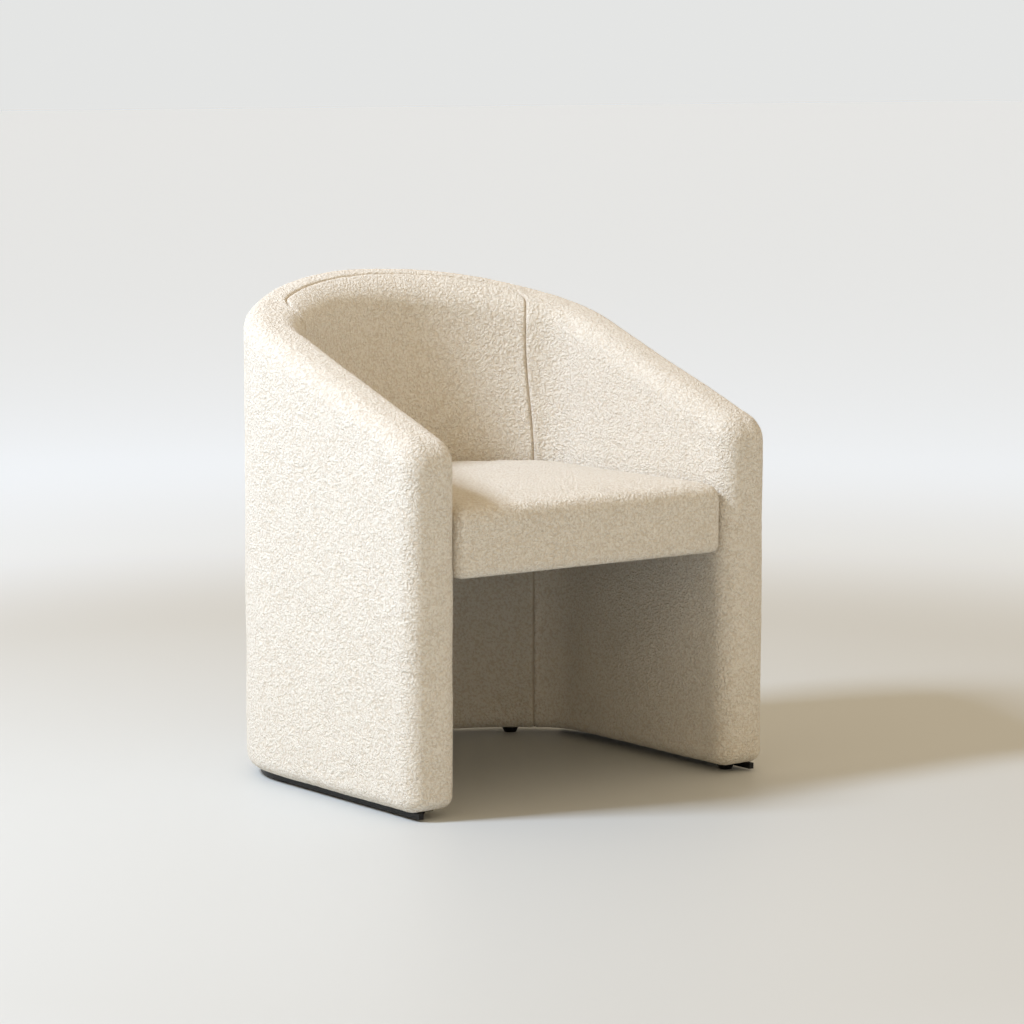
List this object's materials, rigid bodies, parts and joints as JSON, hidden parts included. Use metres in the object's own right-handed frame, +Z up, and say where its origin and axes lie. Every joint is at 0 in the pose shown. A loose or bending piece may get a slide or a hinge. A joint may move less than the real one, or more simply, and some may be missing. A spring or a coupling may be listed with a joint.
{
  "type": "upholstered armchair",
  "caption": "Barrel armchair with one curved upholstered wall that slopes from low arms up to the back, a padded seat box between the arms, and low black glides.",
  "frame": {"origin": "on the floor, below the middle of the chair's plan", "axes": "+Z up, the chair faces -Y, +X to the right as seen from the front"},
  "size_m": [0.67, 0.616, 0.7502],
  "materials": {
    "boucle": "looped cream boucle, matt, with a soft sheen",
    "dust_cloth": "black non-woven cloth, matt",
    "foam": "open-cell foam, matt",
    "wadding": "white polyester wadding, matt",
    "felt": "grey needled felt, matt",
    "timber": "planed pale hardwood, unfinished",
    "plywood": "birch plywood, unfinished",
    "panel_board": "smooth brown hardboard",
    "spring_steel": "black lacquered spring wire",
    "zinc_steel": "zinc plated",
    "black_plastic": "black, satin"
  },
  "bodies": {
    "root": {"outer_cover": "boucle", "inside_back_cover": "boucle", "lower_inside_cover": "boucle", "seat_cover": "boucle", "base_dust_cover": "dust_cloth", "seat_dust_cover": "dust_cloth", "outer_foam_left": "foam", "outer_foam_right": "foam", "outer_foam_back": "foam", "arm_foam_left": "foam", "arm_foam_right": "foam", "back_foam": "foam", "lower_foam_left": "foam", "lower_foam_right": "foam", "lower_foam_back": "foam", "crest_foam": "foam", "post_foam_left": "foam", "post_foam_right": "foam", "seat_foam": "foam", "seat_front_pad": "foam", "seat_wadding": "wadding", "spring_insulator": "felt", "front_post_left": "timber", "front_post_right": "timber", "side_stud_left": "timber", "side_stud_right": "timber", "corner_stud_left": "timber", "corner_stud_right": "timber", "back_stud": "timber", "seat_cleat_left": "timber", "seat_cleat_right": "timber", "seat_cleat_back": "timber", "seat_front_rail": "timber", "seat_side_rail_left": "timber", "seat_side_rail_right": "timber", "corner_blocks": "timber", "rail_dowels": "timber", "base_rib": "plywood", "seat_rib": "plywood", "crest_rail": "plywood", "seat_back_rail": "plywood", "outer_panel": "panel_board", "inner_panel_upper": "panel_board", "inner_panel_lower": "panel_board", "sinuous_springs": "spring_steel", "spring_clips": "zinc_steel", "seat_bolts": "zinc_steel", "seat_washers": "zinc_steel", "seat_spacers": "zinc_steel", "tee_nuts": "zinc_steel", "frame_screws": "zinc_steel", "glide_screws": "zinc_steel", "plinth_screws": "zinc_steel", "plinth_left": "black_plastic", "plinth_right": "black_plastic", "glide_front_left": "black_plastic", "glide_front_right": "black_plastic", "glide_rear_left": "black_plastic", "glide_rear_right": "black_plastic"}
  },
  "joints": []
}
